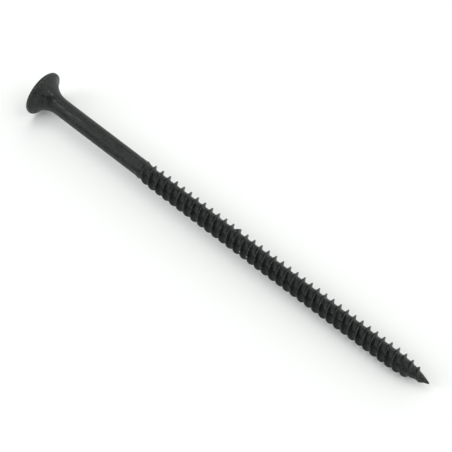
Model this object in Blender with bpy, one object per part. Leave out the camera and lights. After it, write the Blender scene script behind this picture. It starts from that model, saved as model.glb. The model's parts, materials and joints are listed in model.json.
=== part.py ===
"""A long bugle-head screw with a twin-start thread, lying at rest on a level surface.

Metres, +Z up. The screw is modelled along its own axis, from the middle of its flat head at x = 0 to its
point at x = OVERALL_LENGTH, and is then laid down on its rim and its thread. It lies along X, head at -X,
with the origin under its middle on the surface that carries it.
"""
from math import acos, atan2, ceil, cos, floor, pi, radians, sin, tan

import bmesh
import bpy
from mathutils import Matrix, Vector

MM = 0.001

# Head and plain shank
OVERALL_LENGTH = 96.3 * MM
HEAD_DIAMETER = 8.8 * MM
RIM_HEIGHT = 0.41 * MM
RIM_ROUNDING = 0.12 * MM
BUGLE_RADIUS = 5.15 * MM
SHANK_DIAMETER = 3.4 * MM
SHANK_END = 25.7 * MM
NECK_LENGTH = 2.4 * MM

# Thread and point
STARTS = 2
THREAD_DIAMETER = 4.2 * MM
ROOT_DIAMETER = 2.86 * MM
CREST_SPACING = 1.764 * MM
RIDGE_BASE = 0.96 * MM
RIDGE_CREST = 0.1 * MM
FIRST_CREST = 26.56 * MM
THREAD_START = 25.7 * MM
RUN_IN = 3.3 * MM
POINT_LENGTH = 8.9 * MM
POINT_CURVE = 2.5
NOSE_RADIUS = 0.12 * MM
POINT_RIDGE_SHARE = 0.55
RUN_OUT = 3.0 * MM
RIDGE_ENDS = (0.15 * MM, 1.6 * MM)

# Cross recess in the head
RECESS_SPAN = 4.9 * MM
RECESS_WIDTH = 1.4 * MM
RECESS_DEPTH = 2.4 * MM
RECESS_FLOOR_SPAN = 2.3 * MM
RECESS_DRAFT = radians(5.75)
RECESS_HEART = 2.2 * MM
RECESS_POINT = 0.45 * MM
RECESS_OVERSHOOT = 0.3 * MM
RECESS_ARMS = 4

# How finely the round form is divided
SIDES = 30
BUGLE_RINGS = 9
ROUNDING_RINGS = 2
MERGE = 0.002 * MM
SHARP_EDGE = radians(32)

LEAD = STARTS * CREST_SPACING
HEAD_RADIUS = HEAD_DIAMETER / 2
SHANK_RADIUS = SHANK_DIAMETER / 2
ROOT_RADIUS = ROOT_DIAMETER / 2
RIDGE_HEIGHT = THREAD_DIAMETER / 2 - ROOT_RADIUS
BUGLE_TURN = acos(1 - (HEAD_RADIUS - SHANK_RADIUS) / BUGLE_RADIUS)
BUGLE_END = RIM_HEIGHT + BUGLE_RADIUS * sin(BUGLE_TURN)
NOSE_START = OVERALL_LENGTH - NOSE_RADIUS
STEP_ANGLE = 2 * pi / SIDES
FIRST_ANGLE = -pi / 2 + STEP_ANGLE / 2
BLACK_PHOSPHATE = (0.042, 0.045, 0.044, 1.0)


def clear_scene():
    for thing in list(bpy.data.objects):
        bpy.data.objects.remove(thing, do_unlink=True)


def phosphate_material():
    material = bpy.data.materials.new("black_phosphate")
    material.use_nodes = True
    shader = material.node_tree.nodes["Principled BSDF"]
    shader.inputs["Base Color"].default_value = BLACK_PHOSPHATE
    shader.inputs["Metallic"].default_value = 0.6
    shader.inputs["Roughness"].default_value = 0.5
    material.diffuse_color = BLACK_PHOSPHATE
    return material


def ease(share):
    """A smooth rise from 0 to 1."""
    share = min(max(share, 0.0), 1.0)
    return share * share * (3 - 2 * share)


def core_radius(x):
    """The body under the ridges: plain shank, neck, straight root, and a point that curves in to the nose."""
    to_point = OVERALL_LENGTH - x
    if to_point < POINT_LENGTH:
        narrowing = (1 - to_point / POINT_LENGTH) ** POINT_CURVE
        return ROOT_RADIUS - (ROOT_RADIUS - NOSE_RADIUS) * narrowing
    return SHANK_RADIUS + (ROOT_RADIUS - SHANK_RADIUS) * ease((x - SHANK_END) / NECK_LENGTH)


def ridge_height(x, start):
    """How far one start's crest stands over the core, rising at the neck and dying out on the point."""
    rise = min(max((x - THREAD_START) / RUN_IN, 0.0), 1.0)
    to_point = OVERALL_LENGTH - x
    fall = ease((to_point - RIDGE_ENDS[start]) / RUN_OUT)
    along_point = min(to_point / POINT_LENGTH, 1.0)
    share = POINT_RIDGE_SHARE + (1 - POINT_RIDGE_SHARE) * along_point
    return RIDGE_HEIGHT * (1 - (1 - rise) ** 2) * fall * share


def around(x, radius, angle):
    return Vector((x, radius * cos(angle), radius * sin(angle)))


def chain(bm, points):
    """An open run of edges through the points, ready to spin."""
    verts = [bm.verts.new(point) for point in points]
    edges = [bm.edges.new(pair) for pair in zip(verts, verts[1:])]
    return verts + edges


def turned_outline():
    """Radius along the head, bugle and plain shank, as (x, radius) from the rim's top to the thread zone."""
    outline = []
    for ring in range(ROUNDING_RINGS + 1):
        turn = pi / 2 * ring / ROUNDING_RINGS
        outline.append((RIM_ROUNDING * (1 - sin(turn)), HEAD_RADIUS - RIM_ROUNDING * (1 - cos(turn))))
    outline.reverse()
    for ring in range(BUGLE_RINGS + 1):
        turn = BUGLE_TURN * (1 - ring / BUGLE_RINGS)
        radius = SHANK_RADIUS + BUGLE_RADIUS * (1 - cos(turn))
        outline.append((BUGLE_END - BUGLE_RADIUS * sin(turn), radius))
    outline.append((SHANK_END, SHANK_RADIUS))
    return outline


def nose_outline():
    """The small dome that ends the point."""
    outline = []
    for ring in range(ROUNDING_RINGS + 2):
        turn = pi / 2 * ring / (ROUNDING_RINGS + 1)
        outline.append((NOSE_START + NOSE_RADIUS * sin(turn), core_radius(NOSE_START) * cos(turn)))
    return outline


def turn_solid(bm, outline):
    """Turn an (x, radius) outline once round the axis."""
    geometry = chain(bm, [around(x, radius, FIRST_ANGLE) for x, radius in outline])
    bmesh.ops.spin(bm, geom=geometry, cent=(0, 0, 0), axis=(1, 0, 0), angle=2 * pi, steps=SIDES, use_merge=True)


def ridge_profile():
    """One lead of the thread as (offset from the first crest, share of the ridge's height, start)."""
    across = ((-RIDGE_BASE / 2, 0.0), (-RIDGE_CREST / 2, 1.0), (RIDGE_CREST / 2, 1.0), (RIDGE_BASE / 2, 0.0))
    profile = []
    for start in range(STARTS):
        profile += [(start * CREST_SPACING + offset, share, start) for offset, share in across]
    profile.append((LEAD + across[0][0], 0.0, 0))
    return profile


def wind_thread(bm):
    """Wind one lead of the profile round the axis, then give every point its own radius."""
    share_layer = bm.verts.layers.float.new("ridge_share")
    start_layer = bm.verts.layers.int.new("start")
    crest = FIRST_CREST + LEAD * (FIRST_ANGLE - pi / 2) / (2 * pi)
    crest -= LEAD * (2 + floor((crest - SHANK_END) / LEAD))
    turns = ceil((NOSE_START - crest) / LEAD) + 1
    profile = ridge_profile()
    geometry = chain(bm, [around(crest + offset, ROOT_RADIUS, FIRST_ANGLE) for offset, share, start in profile])
    for vert, (offset, share, start) in zip(geometry, profile):
        vert[share_layer] = share
        vert[start_layer] = start
    step = LEAD / SIDES
    bmesh.ops.spin(bm, geom=geometry, cent=(0, 0, 0), axis=(1, 0, 0), dvec=(step, 0, 0),
                   angle=2 * pi * turns, steps=SIDES * turns)
    for vert in bm.verts:
        angle = atan2(vert.co.z, vert.co.y)
        x = min(max(vert.co.x, SHANK_END), NOSE_START)
        radius = core_radius(x) + vert[share_layer] * ridge_height(x, vert[start_layer])
        vert.co = around(x, radius, angle)


def screw_mesh():
    bm = bmesh.new()
    wind_thread(bm)
    turn_solid(bm, turned_outline())
    turn_solid(bm, nose_outline())
    bmesh.ops.remove_doubles(bm, verts=bm.verts, dist=MERGE)
    bmesh.ops.dissolve_degenerate(bm, edges=bm.edges, dist=MERGE)
    rim_edges = [edge for edge in bm.edges if edge.is_boundary]
    bmesh.ops.contextual_create(bm, geom=rim_edges)
    bmesh.ops.recalc_face_normals(bm, faces=bm.faces)
    mesh = bpy.data.meshes.new("screw")
    bm.to_mesh(mesh)
    bm.free()
    mesh.shade_smooth()
    mesh.set_sharp_from_angle(angle=SHARP_EDGE)
    return mesh


def recess_section(x, span, width, heart):
    """A cross with the corners between its arms cut flat, as points round the axis."""
    half = width / 2
    arm_corners = ((half, heart / 2), (half, span / 2), (-half, span / 2), (-half, heart / 2))
    points = []
    for arm in range(RECESS_ARMS):
        turn = Matrix.Rotation(2 * pi * arm / RECESS_ARMS, 4, "X")
        points += [turn @ Vector((x, across, out)) for across, out in arm_corners]
    return points


def recess_mesh():
    """The tapering cross that the driver fits, with a blunt point at its floor."""
    arm_slope = (RECESS_SPAN - RECESS_FLOOR_SPAN) / RECESS_DEPTH
    side_slope = 2 * tan(RECESS_DRAFT)
    bm = bmesh.new()
    loops = []
    for x in (-RECESS_OVERSHOOT, RECESS_DEPTH):
        span = RECESS_SPAN - arm_slope * x
        width = RECESS_WIDTH - side_slope * x
        heart = RECESS_HEART - side_slope * x
        verts = [bm.verts.new(point) for point in recess_section(x, span, width, heart)]
        loops.append(verts)
    top = bm.faces.new(loops[0])
    floor_face = bm.faces.new(loops[1])
    bmesh.ops.bridge_loops(bm, edges=list(top.edges) + list(floor_face.edges))
    bmesh.ops.recalc_face_normals(bm, faces=bm.faces)
    bmesh.ops.poke(bm, faces=[floor_face], offset=RECESS_POINT)
    mesh = bpy.data.meshes.new("recess_cutter")
    bm.to_mesh(mesh)
    bm.free()
    return mesh


def resting_tilt(mesh):
    """The slope at which the rim and the lowest crest near the point touch the same surface."""
    head = [vert.co for vert in mesh.vertices if vert.co.x <= RIM_HEIGHT + MERGE]
    rim = min(head, key=lambda point: (round(point.z / MERGE), -point.x))
    beyond = [vert.co for vert in mesh.vertices if vert.co.x > SHANK_END]
    return min(atan2(point.z - rim.z, point.x - rim.x) for point in beyond)


def lay_down(mesh):
    """An empty that tilts the screw on to its rim and thread, centred over the origin."""
    tilt = Matrix.Rotation(resting_tilt(mesh), 4, "Y")
    points = [tilt @ vert.co for vert in mesh.vertices]
    lowest = Vector(min(point[axis] for point in points) for axis in range(3))
    highest = Vector(max(point[axis] for point in points) for axis in range(3))
    middle = (lowest + highest) / 2
    rest = bpy.data.objects.new("lying_at_rest", None)
    rest.empty_display_size = HEAD_DIAMETER
    rest.matrix_world = Matrix.Translation((-middle.x, -middle.y, -lowest.z)) @ tilt
    bpy.context.scene.collection.objects.link(rest)
    return rest


def add_object(name, mesh, rest):
    thing = bpy.data.objects.new(name, mesh)
    bpy.context.scene.collection.objects.link(thing)
    thing.parent = rest
    return thing


def main():
    clear_scene()
    mesh = screw_mesh()
    rest = lay_down(mesh)
    screw = add_object("screw", mesh, rest)
    screw.data.materials.append(phosphate_material())
    cutter = add_object("recess_cutter", recess_mesh(), rest)
    cutter.hide_render = True
    cutter.display_type = "WIRE"
    recess = screw.modifiers.new("cross_recess", "BOOLEAN")
    recess.operation = "DIFFERENCE"
    recess.solver = "EXACT"
    recess.object = cutter


main()
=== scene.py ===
"""The black phosphated screw as it is seen: its finely wound thread, its finish, and a pale studio round it.

Metres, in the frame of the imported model. The screw is wound and turned along its own axis, from the middle
of its flat head, and its points are then placed on the model's screw.
"""
import json
from math import acos, atan2, ceil, cos, floor, hypot, pi, radians, sin, tan

import bmesh
import bpy
from mathutils import Matrix, Vector


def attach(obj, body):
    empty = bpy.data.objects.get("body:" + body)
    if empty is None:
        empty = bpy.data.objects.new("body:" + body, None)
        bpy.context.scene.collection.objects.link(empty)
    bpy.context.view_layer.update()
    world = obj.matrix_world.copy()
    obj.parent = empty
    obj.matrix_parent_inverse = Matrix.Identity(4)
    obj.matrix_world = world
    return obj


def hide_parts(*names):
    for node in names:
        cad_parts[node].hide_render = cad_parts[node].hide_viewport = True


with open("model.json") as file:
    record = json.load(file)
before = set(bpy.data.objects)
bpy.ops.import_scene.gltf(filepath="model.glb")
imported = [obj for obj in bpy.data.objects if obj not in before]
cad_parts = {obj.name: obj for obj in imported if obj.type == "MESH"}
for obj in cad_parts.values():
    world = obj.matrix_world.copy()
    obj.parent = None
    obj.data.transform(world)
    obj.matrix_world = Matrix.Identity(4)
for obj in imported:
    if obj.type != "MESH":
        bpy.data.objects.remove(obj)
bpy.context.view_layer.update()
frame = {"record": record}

MM = 0.001

# The screw's own sizes, as in the model
OVERALL_LENGTH = 96.3 * MM
HEAD_DIAMETER = 8.8 * MM
RIM_HEIGHT = 0.41 * MM
RIM_ROUNDING = 0.12 * MM
BUGLE_RADIUS = 5.15 * MM
SHANK_DIAMETER = 3.4 * MM
SHANK_END = 25.7 * MM
NECK_LENGTH = 2.4 * MM
STARTS = 2
THREAD_DIAMETER = 4.2 * MM
ROOT_DIAMETER = 2.86 * MM
CREST_SPACING = 1.764 * MM
FIRST_CREST = 26.56 * MM
THREAD_START = 25.7 * MM
RUN_IN = 3.3 * MM
POINT_LENGTH = 8.9 * MM
POINT_CURVE = 2.5
NOSE_RADIUS = 0.12 * MM
POINT_RIDGE_SHARE = 0.55
RECESS_SPAN = 4.9 * MM
RECESS_WIDTH = 1.4 * MM
RECESS_DEPTH = 2.4 * MM
RECESS_FLOOR_SPAN = 2.3 * MM
RECESS_DRAFT = radians(5.75)
RECESS_HEART = 2.2 * MM
RECESS_POINT = 0.45 * MM
HEAD_FACE_MARK = Vector((0, -2.3 * MM, 2.3 * MM))
FACE_RING = 3.3 * MM

# Where the ridges of the two starts die out before the nose, one of them sooner than on the model
RUN_OUT = 2.0 * MM
RIDGE_ENDS = (0.55 * MM, 2.9 * MM)

# The ridge's section, finer than the model's
RIDGE_FOOT = 1.03 * MM
RIDGE_TOP = 0.15 * MM
FLANK_HOLLOW = 1.5
FLANK_ROWS = 7
ROOT_ROWS = 4

# How finely the round form is divided
SIDES = 80
BUGLE_RINGS = 28
SHANK_RINGS = 10
ROUNDING_RINGS = 5
ARM_ROUNDING = 0.12 * MM
ROUNDING_STEPS = 4
LIP_ROUNDING = 0.05 * MM
WALL_STEPS = 10
MERGE = 0.001 * MM
SHARP_ANGLE = radians(38)

# A chip rolled into the foot of one ridge: its start and end, and its place and half width round the axis
CHIP_START = 47.85 * MM
CHIP_END = 48.85 * MM
CHIP_TURN = radians(24)
CHIP_HALF_TURN = radians(16)

# How far this screw is out of true: its middle lies beside the line between its ends, and its head is tilted
BOW = 0.19 * MM
HEAD_TILT = radians(1.0)
TILT_TOWARDS = radians(210)

# The view: the screw's slope down the picture, how far it comes towards the camera, and where its axis shows
PICTURE_SIDE = 452
SCREW_DROP = radians(36.94)
TOWARDS_CAMERA = radians(23.3)
VIEW_DISTANCE = 1.085
FOCAL_PIXELS = 5928
SENSOR = 36.0
AXIS_PIXEL = (220.06, 226.50)
AXIS_POINT = 45.15 * MM

# The studio: its even light, and round lamps as (name, direction from the screw, watts, colour)
ROOM_LIGHT = 1.2
ROOM_WHITE = (0.975, 1.0, 0.975)
WARM_WHITE = (1.0, 0.935, 0.955)
COOL_WHITE = (0.960, 1.0, 0.980)
LAMP_SIZE = 0.45
LAMP_DISTANCE = 1.0
LAMPS = (
    ("head_light", (-0.412, -0.093, 0.906), 1.75, COOL_WHITE),
    ("front_light", (-0.126, -0.404, 0.906), 1.0, COOL_WHITE),
    ("back_light", (-0.287, 0.311, 0.906), 0.85, WARM_WHITE),
    ("point_light", (0.412, 0.093, 0.906), 0.77, WARM_WHITE),
    ("low_front_light", (-0.396, -0.651, 0.643), 2.0, COOL_WHITE),
    ("low_left_light", (-0.699, -0.645, 0.309), 2.0, COOL_WHITE),
    ("low_back_light", (0.038, 0.950, 0.309), 0.7, WARM_WHITE),
)

# The finish: colours of the coat, and the scales of its grain per metre
COAT_DARK = (0.0048, 0.0056, 0.0052)
COAT_GREEN = (0.0235, 0.0295, 0.0242)
COAT_BLUE = (0.0218, 0.0254, 0.0272)
# The colour the thread darkens towards: a darker tone all over it, and painted shade in its hollows.
DARK_THREAD_AND_HOLLOW_SHADE = (0.0024, 0.0030, 0.0030)
# The pale colour of edge wear and scuffs, also used as a painted highlight on the crests, the bugle's top
# edge and the streak.
PALE_WEAR_AND_HIGHLIGHT = (0.15, 0.15, 0.14)
# Painted shade: the near black of the dark patches on the bugle, standing in for its dark reflection.
PAINTED_DARK_PATCH = (0.0008, 0.0010, 0.0010)
NICKED_STEEL = (0.8, 0.8, 0.78)
ROLLED_SHARE = 0.25
# Painted shade: how much more the thread's hollows are darkened than the rest of the thread.
HOLLOW_SHADE_SHARE = 0.45
# How pale the edges turn: real wear on the rim, the recess lips and the point, and a painted highlight along
# the crests.
EDGE_WEAR_AND_GLINT_SHARE = 0.3
COAT_ROUGHNESS = (0.25, 0.50)
UNROLLED_ROUGHNESS = 0.085
SPECULAR = 0.27
GRAIN_SCALE = 3200
FINE_SCALE = 14000
PATCH_SCALE = 700
TINT_SCALE = 900
STREAK_SCALE = 2500
STREAK_STRETCH = 0.03
CRYSTAL_HEIGHT = 0.03 * MM
BUMP_STRENGTH = 0.7

# The bands of each noise that the coat uses, and how its clouds are put together
GRAIN_BAND = (0.3, 0.7)
PATCH_BAND = (0.35, 0.65)
TINT_BAND = (0.4, 0.6)
STREAK_BAND = (0.35, 0.65)
GRAIN_HEIGHT = 0.5
CLOUD_SHARES = (("Patches", 0.28), ("Grain", 0.52), ("Streaks", 0.20))
CLOUD_BAND = (0.26, 0.80)
# Where on the ridge's height the painted shade of the hollows fades out.
HOLLOW_SHADE_BAND = (0.3, 0.95)

# Wear and painted highlights on edges, from 0 to 1, and what they and the painted dark patches do to the coat
FACE_WEAR = 0.2
RIM_WEAR = 0.9
RIM_SIDE_WEAR = 0.8
# Painted highlight: a pale line round the bugle's top edge, just under the rim, where that corner catches
# light.
BUGLE_TOP_HIGHLIGHT = 1.0
HIGHLIGHT_BUGLE_RINGS = 2
WORN_POINT = 5.5 * MM
EDGE_WEAR_AND_GLINT_FROM = 0.78
EDGE_WEAR_AND_GLINT_GRAIN_BAND = (0.2, 0.9)
GRAIN_GAPS_IN_WEAR_AND_GLINT = 0.1
PATCH_GAPS_IN_WEAR_AND_GLINT = 0.5
WEAR_AND_HIGHLIGHT_SMOOTHING = 0.15
WEAR_AND_HIGHLIGHT_METAL = 0.5
# How pale the scuffs make the coat, partly as a painted highlight.
SCUFF_AND_HIGHLIGHT_SHARE = 0.3
# How far the painted dark patches blacken the coat and dull it.
DARK_PATCH_SHARE = 0.9
DARK_PATCH_DULLING = 0.3
MARK_BAND = (0.55, 1.1)

# Marks: distance from the head's top, distance from the axis, degrees round it, half length, half width
# Pale scuffs on the flare and the shank, laid along the bright streak and patches: partly wear, partly
# painted highlight.
SCUFFS_AND_HIGHLIGHTS = (
    (0.53 * MM, 4.18 * MM, 84, 0.13 * MM, 0.24 * MM),
    (0.65 * MM, 4.00 * MM, 96, 0.13 * MM, 0.30 * MM),
    (0.68 * MM, 3.95 * MM, 109, 0.12 * MM, 0.26 * MM),
    (0.41 * MM, 4.39 * MM, 115, 0.12 * MM, 0.14 * MM),
    (2.8 * MM, 2.16 * MM, 95, 0.60 * MM, 0.26 * MM),
    (2.1 * MM, 2.50 * MM, 99, 0.35 * MM, 0.22 * MM),
    (4.0 * MM, 1.80 * MM, 113, 0.45 * MM, 0.16 * MM),
    (5.6 * MM, 1.70 * MM, 117, 1.30 * MM, 0.15 * MM),
    (7.9 * MM, 1.70 * MM, 121, 1.20 * MM, 0.15 * MM),
    (10.0 * MM, 1.70 * MM, 114, 1.20 * MM, 0.12 * MM),
)
# Painted shade: near black patches low on the bugle, in place of the dark reflection of the dim room there.
PAINTED_DARK_PATCHES = (
    (2.9 * MM, 2.10 * MM, 121, 0.95 * MM, 0.50 * MM),
    (1.9 * MM, 2.70 * MM, 127, 0.45 * MM, 0.30 * MM),
)
NICKS = (
    (51.95 * MM, 2.1 * MM, 160, 0.12 * MM, 0.09 * MM),
    (53.71 * MM, 2.1 * MM, 160, 0.10 * MM, 0.07 * MM),
)

# The floor under the screw, and how near and far the camera sees
FLOOR_HALF_SIDE = 3.0
FLOOR_DROP = 0.02 * MM
FLOOR_WHITE = (0.97, 0.97, 0.97)
FLOOR_ROUGHNESS = 0.9
NEAREST_SEEN = 0.01
FARTHEST_SEEN = 20

# What follows from the sizes
LEAD = STARTS * CREST_SPACING
HEAD_RADIUS = HEAD_DIAMETER / 2
SHANK_RADIUS = SHANK_DIAMETER / 2
ROOT_RADIUS = ROOT_DIAMETER / 2
RIDGE_HEIGHT = THREAD_DIAMETER / 2 - ROOT_RADIUS
BUGLE_TURN = acos(1 - (HEAD_RADIUS - SHANK_RADIUS) / BUGLE_RADIUS)
BUGLE_END = RIM_HEIGHT + BUGLE_RADIUS * sin(BUGLE_TURN)
NOSE_START = OVERALL_LENGTH - NOSE_RADIUS


def ease(share):
    """A smooth rise from 0 to 1."""
    share = min(max(share, 0.0), 1.0)
    return share * share * (3 - 2 * share)


def core_radius(x):
    """The body under the ridges: plain shank, neck, straight root, and a point that curves in to the nose."""
    to_point = OVERALL_LENGTH - x
    if to_point < POINT_LENGTH:
        narrowing = (1 - to_point / POINT_LENGTH) ** POINT_CURVE
        return ROOT_RADIUS - (ROOT_RADIUS - NOSE_RADIUS) * narrowing
    return SHANK_RADIUS + (ROOT_RADIUS - SHANK_RADIUS) * ease((x - SHANK_END) / NECK_LENGTH)


def ridge_height(x, start):
    """How far one start's crest stands over the core, rising at the neck and dying out on the point."""
    rise = min(max((x - THREAD_START) / RUN_IN, 0.0), 1.0)
    to_point = OVERALL_LENGTH - x
    fall = ease((to_point - RIDGE_ENDS[start]) / RUN_OUT)
    along_point = min(to_point / POINT_LENGTH, 1.0)
    share = POINT_RIDGE_SHARE + (1 - POINT_RIDGE_SHARE) * along_point
    return RIDGE_HEIGHT * (1 - (1 - rise) ** 2) * fall * share


def chip_share(x, angle):
    """How far the chip fills the hollow beside its ridge, as a share of the ridge's height."""
    ramp = (x - CHIP_START) / (CHIP_END - CHIP_START)
    if not 0 < ramp <= 1:
        return 0.0
    return ramp * ease(2 - 2 * abs(angle - CHIP_TURN) / CHIP_HALF_TURN)


def around(x, radius, angle):
    """A point at a distance from the head's top, a distance from the axis and an angle round it."""
    return Vector((x, radius * cos(angle), radius * sin(angle)))


def out_of_true(point):
    """A point of the straight screw, moved to its place on the slightly bowed one with the tilted head."""
    from_middle = 2 * point.x / OVERALL_LENGTH - 1
    to_side = point.y * cos(TILT_TOWARDS) + point.z * sin(TILT_TOWARDS)
    leaning = to_side * tan(HEAD_TILT) * ease(1 - point.x / BUGLE_END)
    return point + Vector((leaning, -BOW * (1 - from_middle ** 2), 0))


def chain(bm, points):
    """An open run of edges through the points, ready to spin."""
    verts = [bm.verts.new(point) for point in points]
    edges = [bm.edges.new(pair) for pair in zip(verts, verts[1:])]
    return verts + edges


def turned_outline():
    """Head face, rim, bugle and plain shank as (x, radius, share of edge wear), from the face out; on the
    bugle's top rings the share is a painted highlight.
    """
    outline = [(0.0, FACE_RING, 0.0), (0.0, HEAD_RADIUS - 2 * RIM_ROUNDING, FACE_WEAR)]
    for ring in range(ROUNDING_RINGS + 1):
        turn = pi / 2 * ring / ROUNDING_RINGS
        radius = HEAD_RADIUS - RIM_ROUNDING * (1 - sin(turn))
        edge = RIM_WEAR if ring < ROUNDING_RINGS else RIM_SIDE_WEAR
        outline.append((RIM_ROUNDING * (1 - cos(turn)), radius, edge))
    for ring in range(BUGLE_RINGS + 1):
        turn = BUGLE_TURN * (1 - ring / BUGLE_RINGS)
        radius = SHANK_RADIUS + BUGLE_RADIUS * (1 - cos(turn))
        edge = BUGLE_TOP_HIGHLIGHT if ring < HIGHLIGHT_BUGLE_RINGS else 0.0
        outline.append((BUGLE_END - BUGLE_RADIUS * sin(turn), radius, edge))
    for ring in range(1, SHANK_RINGS + 1):
        outline.append((BUGLE_END + (SHANK_END - BUGLE_END) * ring / SHANK_RINGS, SHANK_RADIUS, 0.0))
    return outline


def nose_outline():
    """The small dome that ends the point."""
    outline = []
    for ring in range(ROUNDING_RINGS + 1):
        turn = pi / 2 * ring / ROUNDING_RINGS
        outline.append((NOSE_START + NOSE_RADIUS * sin(turn), core_radius(NOSE_START) * cos(turn), 1.0))
    return outline


def turn_solid(bm, outline, edge_layer):
    """Turn an outline of (x, radius, share of edge wear and painted highlight) once round the axis."""
    geometry = chain(bm, [around(x, radius, 0) for x, radius, edge in outline])
    for vert, (x, radius, edge) in zip(geometry, outline):
        vert[edge_layer] = edge
    bmesh.ops.spin(bm, geom=geometry, cent=(0, 0, 0), axis=(1, 0, 0),
                   angle=2 * pi, steps=SIDES, use_merge=True)


def ridge_section():
    """Half a ridge as (distance from its middle, share of its height), from the root to the crest."""
    foot = RIDGE_FOOT / 2
    top = RIDGE_TOP / 2
    section = []
    for row in range(ROOT_ROWS):
        section.append((CREST_SPACING / 2 + (foot - CREST_SPACING / 2) * row / ROOT_ROWS, 0.0))
    for row in range(FLANK_ROWS + 1):
        up = row / FLANK_ROWS
        section.append((foot + (top - foot) * up, up ** FLANK_HOLLOW))
    section.append((0.0, 1.0))
    return section


def lead_profile():
    """One lead of the thread as (offset from the first crest, share of the ridge's height, start)."""
    rising = ridge_section()
    profile = []
    for start in range(STARTS):
        middle = start * CREST_SPACING
        profile += [(middle - distance, share, start) for distance, share in rising]
        profile += [(middle + distance, share, start) for distance, share in reversed(rising[1:-1])]
    profile.append((LEAD - CREST_SPACING / 2, 0.0, 0))
    return profile


def wind_thread(bm, edge_layer, thread_layer):
    """Wind one lead of the profile round the axis, then give every point its own radius."""
    start_layer = bm.verts.layers.int.new("start")
    # The first crest is measured on top of the screw, a quarter turn on from where the profile is drawn.
    crest = FIRST_CREST - LEAD / 4
    # The winding starts before the thread, and what lies before the shank's end closes up to one ring there.
    crest -= LEAD * (2 + floor((crest - SHANK_END) / LEAD))
    turns = ceil((NOSE_START - crest) / LEAD) + 1
    profile = lead_profile()
    geometry = chain(bm, [around(crest + offset, ROOT_RADIUS, 0) for offset, share, start in profile])
    for vert, (offset, share, start) in zip(geometry, profile):
        vert[edge_layer] = share
        vert[start_layer] = start
    bmesh.ops.spin(bm, geom=geometry, cent=(0, 0, 0), axis=(1, 0, 0), dvec=(LEAD / SIDES, 0, 0),
                   angle=2 * pi, steps=SIDES)
    one_turn = bm.verts[:] + bm.edges[:] + bm.faces[:]
    for count in range(1, turns):
        copy = bmesh.ops.duplicate(bm, geom=one_turn)["geom"]
        verts = [item for item in copy if isinstance(item, bmesh.types.BMVert)]
        bmesh.ops.translate(bm, verts=verts, vec=(count * LEAD, 0, 0))
    for vert in bm.verts:
        angle = atan2(vert.co.z, vert.co.y)
        x = min(max(vert.co.x, SHANK_END), NOSE_START)
        height = ridge_height(x, vert[start_layer])
        stands = max(vert[edge_layer], chip_share(x, angle))
        vert.co = around(x, core_radius(x) + stands * height, angle)
        vert[thread_layer] = height / RIDGE_HEIGHT
        # The edge mask follows the ridge's height, so the crests carry a painted highlight; towards the point
        # it rises as real wear.
        wear = 1 - (1 - EDGE_WEAR_AND_GLINT_FROM) * (OVERALL_LENGTH - x) / WORN_POINT
        vert[edge_layer] = max(vert[edge_layer] * vert[thread_layer], wear)


def cross_outline(x, span, width, heart):
    """A cross with flats between its arms and its arms' corners rounded, as points round the axis."""
    half = width / 2
    points = []
    for arm in range(4):
        turn = Matrix.Rotation(arm * pi / 2, 4, "X")
        arc = [pi / 2 * step / ROUNDING_STEPS for step in range(ROUNDING_STEPS + 1)]
        side = [(half, heart / 2)]
        for bend in arc:
            side.append((half - ARM_ROUNDING * (1 - cos(bend)), span / 2 - ARM_ROUNDING * (1 - sin(bend))))
        mirrored = [(-across, out) for across, out in reversed(side)]
        points += [turn @ Vector((x, across, out)) for across, out in side + mirrored]
    return points


def sink_recess(bm, rim_loop, edge_layer):
    """The driver's recess: a rounded lip, tapering walls and a blunt point at the floor."""
    arm_slope = (RECESS_SPAN - RECESS_FLOOR_SPAN) / RECESS_DEPTH
    side_slope = 2 * tan(RECESS_DRAFT)
    levels = []
    for step in range(ROUNDING_STEPS + 1):
        turn = pi / 2 * step / ROUNDING_STEPS
        levels.append((LIP_ROUNDING * (1 - cos(turn)), 2 * LIP_ROUNDING * (1 - sin(turn))))
    for step in range(1, WALL_STEPS + 1):
        levels.append((LIP_ROUNDING + (RECESS_DEPTH - LIP_ROUNDING) * step / WALL_STEPS, 0.0))
    loops = []
    for x, wider in levels:
        span = RECESS_SPAN - arm_slope * x + wider
        width = RECESS_WIDTH - side_slope * x + wider
        heart = RECESS_HEART - side_slope * x + wider
        verts = [bm.verts.new(point) for point in cross_outline(x, span, width, heart)]
        for vert in verts:
            vert[edge_layer] = 1.0 if x <= LIP_ROUNDING else 0.0
        loops.append([bm.edges.new(pair) for pair in zip(verts, verts[1:] + verts[:1])])
    for upper, lower in zip(loops, loops[1:]):
        bmesh.ops.bridge_loops(bm, edges=upper + lower)
    bottom = bmesh.ops.contextual_create(bm, geom=loops[-1])["faces"]
    poked = bmesh.ops.poke(bm, faces=bottom)
    for vert in poked["verts"]:
        vert.co = (RECESS_DEPTH + RECESS_POINT, 0, 0)
    bmesh.ops.triangle_fill(bm, use_beauty=True, edges=rim_loop + loops[0])


def screw_placement():
    """The turn and shift that carry the screw's own axis on to the model's, from the head face's mount."""
    mount = next(mount for mount in frame["record"]["mounts"] if mount["name"] == "head_face")
    along = -Vector(mount["axis"]).normalized()
    across = Vector((0, 1, 0))
    turn = Matrix((along, across, along.cross(across))).transposed()
    middle = Vector(mount["pos_m"]) - turn @ HEAD_FACE_MARK
    return Matrix.Translation(middle) @ turn.to_4x4()


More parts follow.
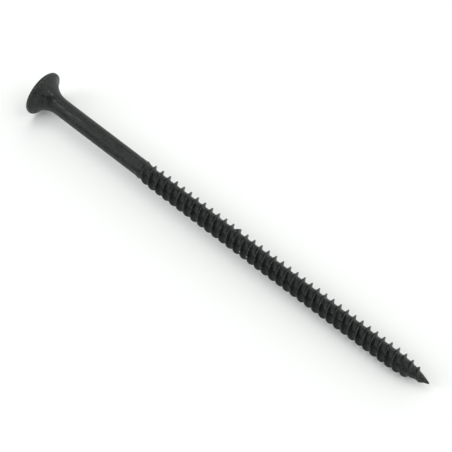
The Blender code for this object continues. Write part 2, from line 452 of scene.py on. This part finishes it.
def screw_piece(material, placement):
    bm = bmesh.new()
    edge_layer = bm.verts.layers.float.new("edge")
    thread_layer = bm.verts.layers.float.new("thread")
    wind_thread(bm, edge_layer, thread_layer)
    turn_solid(bm, turned_outline(), edge_layer)
    turn_solid(bm, nose_outline(), edge_layer)
    bmesh.ops.remove_doubles(bm, verts=bm.verts, dist=MERGE)
    bmesh.ops.dissolve_degenerate(bm, edges=bm.edges, dist=MERGE)
    sink_recess(bm, [edge for edge in bm.edges if edge.is_boundary], edge_layer)
    bmesh.ops.recalc_face_normals(bm, faces=bm.faces)
    for vert in bm.verts:
        vert.co = placement @ out_of_true(vert.co)
    mesh = bpy.data.meshes.new("screw_body")
    bm.to_mesh(mesh)
    bm.free()
    mesh.shade_smooth()
    mesh.set_sharp_from_angle(angle=SHARP_ANGLE)
    mesh.materials.append(material)
    piece = bpy.data.objects.new("screw_body", mesh)
    bpy.context.scene.collection.objects.link(piece)
    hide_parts("screw")
    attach(piece, "root")
    return piece


def new_group(name, inputs, outputs):
    """A shader node group with named sockets, each given as (name, socket type, value)."""
    group = bpy.data.node_groups.new(name, "ShaderNodeTree")
    for label, kind, value in inputs:
        socket = group.interface.new_socket(name=label, in_out="INPUT", socket_type=kind)
        if value is not None:
            socket.default_value = value
    for label, kind in outputs:
        group.interface.new_socket(name=label, in_out="OUTPUT", socket_type=kind)
    start = group.nodes.new("NodeGroupInput")
    end = group.nodes.new("NodeGroupOutput")
    return group, start, end


def add_noise(tree, vector, scale, detail, roughness):
    noise = tree.nodes.new("ShaderNodeTexNoise")
    noise.inputs["Scale"].default_value = scale
    noise.inputs["Detail"].default_value = detail
    noise.inputs["Roughness"].default_value = roughness
    tree.links.new(vector, noise.inputs["Vector"])
    return noise.outputs["Fac"]


def add_range(tree, value, band, reach=(0.0, 1.0)):
    """Stretch a value from one band to another, smoothly and without running over."""
    stretch = tree.nodes.new("ShaderNodeMapRange")
    stretch.interpolation_type = "SMOOTHSTEP"
    for label, number in zip(("From Min", "From Max", "To Min", "To Max"), band + reach):
        stretch.inputs[label].default_value = number
    tree.links.new(value, stretch.inputs["Value"])
    return stretch.outputs["Result"]


def add_math(tree, operation, *values):
    node = tree.nodes.new("ShaderNodeMath")
    node.operation = operation
    for socket, value in zip(node.inputs, values):
        if isinstance(value, (int, float)):
            socket.default_value = value
        else:
            tree.links.new(value, socket)
    return node.outputs["Value"]


def add_mix(tree, share, first, second):
    """Mix two colours, each a socket or an RGB triple."""
    mix = tree.nodes.new("ShaderNodeMix")
    mix.data_type = "RGBA"
    tree.links.new(share, mix.inputs["Factor"])
    for label, colour in (("A", first), ("B", second)):
        socket = next(item for item in mix.inputs if item.name == label and item.type == "RGBA")
        if isinstance(colour, tuple):
            socket.default_value = (*colour, 1)
        else:
            tree.links.new(colour, socket)
    return next(item for item in mix.outputs if item.type == "RGBA")


def add_group(tree, group, links):
    """Place a group in a tree, link its inputs by name and give its outputs."""
    node = tree.nodes.new("ShaderNodeGroup")
    node.node_tree = group
    for label, value in links.items():
        tree.links.new(value, node.inputs[label])
    return node.outputs


def add_attribute(tree, name):
    node = tree.nodes.new("ShaderNodeAttribute")
    node.attribute_name = name
    return node.outputs["Fac"]


def crystal_group():
    """The phosphate's crystals: fine grain, cloudy patches and wire-drawn streaks along the screw."""
    inputs = (("Vector", "NodeSocketVector", None), ("Along", "NodeSocketVector", None))
    outputs = (("Grain", "NodeSocketFloat"), ("Patches", "NodeSocketFloat"), ("Streaks", "NodeSocketFloat"),
               ("Tint", "NodeSocketFloat"), ("Height", "NodeSocketFloat"))
    group, start, end = new_group("phosphate_crystals", inputs, outputs)
    vector = start.outputs["Vector"]
    along = start.outputs["Along"]
    grain = add_range(group, add_noise(group, vector, GRAIN_SCALE, detail=3.0, roughness=0.6), GRAIN_BAND)
    fine = add_noise(group, vector, FINE_SCALE, detail=2.0, roughness=0.5)
    patches = add_range(group, add_noise(group, vector, PATCH_SCALE, detail=4.0, roughness=0.55), PATCH_BAND)
    tint = add_range(group, add_noise(group, vector, TINT_SCALE, detail=2.0, roughness=0.5), TINT_BAND)
    streaks = add_range(group, add_noise(group, along, STREAK_SCALE, detail=3.0, roughness=0.6), STREAK_BAND)
    height = add_math(group, "ADD", add_math(group, "MULTIPLY", grain, GRAIN_HEIGHT), fine)
    group.links.new(grain, end.inputs["Grain"])
    group.links.new(patches, end.inputs["Patches"])
    group.links.new(streaks, end.inputs["Streaks"])
    group.links.new(tint, end.inputs["Tint"])
    group.links.new(height, end.inputs["Height"])
    return group


def edge_wear_and_glint_group():
    """Edge wear, and the painted highlight along the crests and the bugle's top edge: an edge mask that the
    grain breaks up.
    """
    inputs = (("Edge", "NodeSocketFloat", 0.0), ("Grain", "NodeSocketFloat", 0.5),
              ("Patches", "NodeSocketFloat", 0.5))
    group, start, end = new_group("edge_wear_and_painted_glint", inputs, (("Mask", "NodeSocketFloat"),))
    edge = add_range(group, start.outputs["Edge"], (EDGE_WEAR_AND_GLINT_FROM, 1.0))
    broken = add_range(group, start.outputs["Grain"], EDGE_WEAR_AND_GLINT_GRAIN_BAND, (GRAIN_GAPS_IN_WEAR_AND_GLINT, 1.0))
    patchy = add_range(group, start.outputs["Patches"], (0.0, 1.0), (PATCH_GAPS_IN_WEAR_AND_GLINT, 1.0))
    mask = add_math(group, "MULTIPLY", add_math(group, "MULTIPLY", edge, broken), patchy)
    group.links.new(mask, end.inputs["Mask"])
    return group


def mark_group():
    """One mark: a ragged spot with its own length along the screw and its own width."""
    inputs = (("Vector", "NodeSocketVector", None), ("Middle", "NodeSocketVector", None),
              ("Slope", "NodeSocketVector", None), ("Size", "NodeSocketVector", None))
    group, start, end = new_group("coat_mark", inputs, (("Mask", "NodeSocketFloat"),))
    spot = group.nodes.new("ShaderNodeMapping")
    spot.vector_type = "TEXTURE"
    for name, label in (("Vector", "Vector"), ("Middle", "Location"), ("Slope", "Rotation"),
                        ("Size", "Scale")):
        group.links.new(start.outputs[name], spot.inputs[label])
    length = group.nodes.new("ShaderNodeVectorMath")
    length.operation = "LENGTH"
    group.links.new(spot.outputs["Vector"], length.inputs[0])
    ragged = add_noise(group, start.outputs["Vector"], GRAIN_SCALE, detail=3.0, roughness=0.6)
    away = add_math(group, "ADD", length.outputs["Value"], add_math(group, "SUBTRACT", ragged, 0.5))
    group.links.new(add_range(group, away, MARK_BAND, (1.0, 0.0)), end.inputs["Mask"])
    return group


def add_marks(tree, group, vector, placement, marks):
    """All marks of one kind as one mask, each put on the screw from its own sizes."""
    slope = placement.to_euler()
    mask = None
    for x, radius, turn, half_length, half_width in marks:
        spot = add_group(tree, group, {"Vector": vector})["Mask"]
        sockets = spot.node.inputs
        sockets["Middle"].default_value = placement @ out_of_true(around(x, radius, radians(turn)))
        sockets["Slope"].default_value = slope
        sockets["Size"].default_value = (half_length, half_width, half_width)
        mask = spot if mask is None else add_math(tree, "MAXIMUM", mask, spot)
    return mask


def coat_colour(tree, clouds, tint, edge, thread, dark_patched):
    """Cloudy phosphate, darker on the rolled thread, with painted shade in its hollows, and near black at the
    painted dark patches.
    """
    pale = add_mix(tree, tint, COAT_GREEN, COAT_BLUE)
    coat = add_mix(tree, clouds, COAT_DARK, pale)
    # Painted shade: the thread darkens a little all over and most in its hollows.
    low = add_range(tree, edge, HOLLOW_SHADE_BAND, (1.0, 0.0))
    thread_and_hollow_shade = add_math(tree, "MULTIPLY_ADD", low, HOLLOW_SHADE_SHARE, ROLLED_SHARE)
    coat = add_mix(tree, add_math(tree, "MULTIPLY", thread_and_hollow_shade, thread), coat, DARK_THREAD_AND_HOLLOW_SHADE)
    # Painted shade: the dark patches on the bugle.
    return add_mix(tree, add_math(tree, "MULTIPLY", dark_patched, DARK_PATCH_SHARE), coat, PAINTED_DARK_PATCH)


def coat_roughness(tree, clouds, thread, wear_and_highlight, dark_patched):
    """Satin phosphate, rougher off the thread, smoother at the wear and the painted highlights, and dull at
    the painted dark patches.
    """
    rough = add_range(tree, clouds, (0.0, 1.0), COAT_ROUGHNESS)
    unrolled = add_math(tree, "SUBTRACT", 1.0, thread)
    rough = add_math(tree, "MULTIPLY_ADD", unrolled, UNROLLED_ROUGHNESS, rough)
    rough = add_math(tree, "SUBTRACT", rough, add_math(tree, "MULTIPLY", wear_and_highlight, WEAR_AND_HIGHLIGHT_SMOOTHING))
    return add_math(tree, "ADD", rough, add_math(tree, "MULTIPLY", dark_patched, DARK_PATCH_DULLING))


def black_phosphate(placement):
    """The screw's finish, with its wear and marks."""
    material = bpy.data.materials.new("black_phosphate")
    material.use_nodes = True
    tree = material.node_tree
    shader = tree.nodes["Principled BSDF"]
    place = tree.nodes.new("ShaderNodeTexCoord").outputs["Object"]
    along = tree.nodes.new("ShaderNodeMapping")
    along.inputs["Scale"].default_value = (STREAK_STRETCH, 1, 1)
    tree.links.new(place, along.inputs["Vector"])
    crystals = add_group(tree, crystal_group(), {"Vector": place, "Along": along.outputs["Vector"]})
    clouds = 0.0
    for label, share in CLOUD_SHARES:
        clouds = add_math(tree, "MULTIPLY_ADD", crystals[label], share, clouds)
    clouds = add_range(tree, clouds, CLOUD_BAND)

    edge = add_attribute(tree, "edge")
    thread = add_attribute(tree, "thread")
    wear_inputs = {"Edge": edge, "Grain": crystals["Grain"], "Patches": crystals["Patches"]}
    # Edge wear on the rim, lips and point, and a painted highlight along the crests and the bugle's top edge.
    edge_wear_and_glint = add_group(tree, edge_wear_and_glint_group(), wear_inputs)["Mask"]
    marks = mark_group()
    # Pale scuffs, partly wear and partly a painted highlight along the streak on the bugle and shank.
    scuff_and_highlight_mask = add_marks(tree, marks, place, placement, SCUFFS_AND_HIGHLIGHTS)
    # Painted shade: near black patches on the bugle, in place of a dark reflection.
    dark_patched = add_marks(tree, marks, place, placement, PAINTED_DARK_PATCHES)
    nicked = add_marks(tree, marks, place, placement, NICKS)
    scuff_and_highlight_share = add_math(tree, "MULTIPLY", scuff_and_highlight_mask, SCUFF_AND_HIGHLIGHT_SHARE)
    # Pale wear colour that is partly real wear and partly a painted highlight on the crests, the bugle's top
    # edge and the streak.
    wear_and_highlight = add_math(tree, "MAXIMUM", add_math(tree, "MULTIPLY", edge_wear_and_glint, EDGE_WEAR_AND_GLINT_SHARE), scuff_and_highlight_share)

    coat = coat_colour(tree, clouds, crystals["Tint"], edge, thread, dark_patched)
    coat_with_wear_and_highlights = add_mix(tree, wear_and_highlight, coat, PALE_WEAR_AND_HIGHLIGHT)
    tree.links.new(add_mix(tree, nicked, coat_with_wear_and_highlights, NICKED_STEEL), shader.inputs["Base Color"])
    tree.links.new(coat_roughness(tree, clouds, thread, wear_and_highlight, dark_patched), shader.inputs["Roughness"])
    metal = add_math(tree, "MAXIMUM", add_math(tree, "MULTIPLY", wear_and_highlight, WEAR_AND_HIGHLIGHT_METAL), nicked)
    tree.links.new(metal, shader.inputs["Metallic"])
    shader.inputs["Specular IOR Level"].default_value = SPECULAR
    bump = tree.nodes.new("ShaderNodeBump")
    bump.inputs["Strength"].default_value = BUMP_STRENGTH
    bump.inputs["Distance"].default_value = CRYSTAL_HEIGHT
    tree.links.new(crystals["Height"], bump.inputs["Height"])
    tree.links.new(bump.outputs["Normal"], shader.inputs["Normal"])
    return material


def floor_piece():
    bm = bmesh.new()
    bmesh.ops.create_grid(bm, x_segments=1, y_segments=1, size=FLOOR_HALF_SIDE)
    bmesh.ops.translate(bm, verts=bm.verts, vec=(0, 0, -FLOOR_DROP))
    mesh = bpy.data.meshes.new("pale_floor")
    bm.to_mesh(mesh)
    bm.free()
    material = bpy.data.materials.new("pale_floor")
    material.use_nodes = True
    shader = material.node_tree.nodes["Principled BSDF"]
    shader.inputs["Base Color"].default_value = (*FLOOR_WHITE, 1)
    shader.inputs["Roughness"].default_value = FLOOR_ROUGHNESS
    shader.inputs["Specular IOR Level"].default_value = 0.0
    mesh.materials.append(material)
    floor_sheet = bpy.data.objects.new("pale_floor", mesh)
    bpy.context.scene.collection.objects.link(floor_sheet)


def studio_world():
    """A room that is bright behind the screw and beyond its point, and dim on the camera's side."""
    world = bpy.data.worlds.new("studio")
    bpy.context.scene.world = world
    world.use_nodes = True
    tree = world.node_tree
    direction = tree.nodes.new("ShaderNodeTexCoord").outputs["Generated"]
    parts = tree.nodes.new("ShaderNodeSeparateXYZ")
    tree.links.new(direction, parts.inputs["Vector"])
    beyond_point = add_math(tree, "MAXIMUM", parts.outputs["X"], 0.0)
    behind = add_math(tree, "MAXIMUM", parts.outputs["Y"], 0.0)
    bright = add_math(tree, "MULTIPLY", add_math(tree, "ADD", beyond_point, behind), ROOM_LIGHT)
    tree.links.new(bright, tree.nodes["Background"].inputs["Strength"])
    tree.nodes["Background"].inputs["Color"].default_value = (*ROOM_WHITE, 1)


def soft_box(name, towards, power, colour):
    """A round lamp that looks at the screw from a direction given in the world."""
    lamp = bpy.data.lights.new(name, "AREA")
    lamp.shape = "DISK"
    lamp.size = LAMP_SIZE
    lamp.energy = power
    lamp.color = colour
    direction = Vector(towards).normalized()
    stand = bpy.data.objects.new(name, lamp)
    stand.location = direction * LAMP_DISTANCE
    stand.rotation_euler = direction.to_track_quat("Z", "Y").to_euler()
    bpy.context.scene.collection.objects.link(stand)


def view_turn(placement):
    """The camera's turn: level with the surface, and with the screw's slope in the picture as it was seen."""
    along = (placement.to_3x3() @ Vector((1, 0, 0))).normalized()
    flat = cos(TOWARDS_CAMERA)
    seen = Vector((flat * cos(SCREW_DROP), -flat * sin(SCREW_DROP), sin(TOWARDS_CAMERA)))
    # A level camera sees the world's up at the height that gives it the same angle to the screw.
    lean = atan2(seen.z, seen.y)
    height = lean - acos(along.z / hypot(seen.y, seen.z))
    up_seen = Vector((0, cos(height), sin(height)))
    return triad(along, Vector((0, 0, 1))) @ triad(seen, up_seen).transposed()


def triad(first, second):
    """Three directions square to each other, built on two, as a matrix's columns."""
    third = first.cross(second).normalized()
    return Matrix((first, third.cross(first), third)).transposed()


def add_camera(placement):
    turn = view_turn(placement)
    centre = PICTURE_SIDE / 2
    across = (AXIS_PIXEL[0] - centre) / FOCAL_PIXELS
    down = (AXIS_PIXEL[1] - centre) / FOCAL_PIXELS
    seen = Vector((across, -down, -1)) * VIEW_DISTANCE
    camera = bpy.data.cameras.new("camera")
    camera.sensor_width = SENSOR
    camera.lens = FOCAL_PIXELS / PICTURE_SIDE * SENSOR
    camera.clip_start = NEAREST_SEEN
    camera.clip_end = FARTHEST_SEEN
    place = placement @ Vector((AXIS_POINT, 0, 0)) - turn @ seen
    stand = bpy.data.objects.new("camera", camera)
    stand.matrix_world = Matrix.Translation(place) @ turn.to_4x4()
    bpy.context.scene.collection.objects.link(stand)
    bpy.context.scene.camera = stand


placement = screw_placement()
screw_piece(black_phosphate(placement), placement)
floor_piece()
add_camera(placement)
studio_world()
for lamp in LAMPS:
    soft_box(*lamp)
bpy.context.scene.view_settings.view_transform = "Standard"
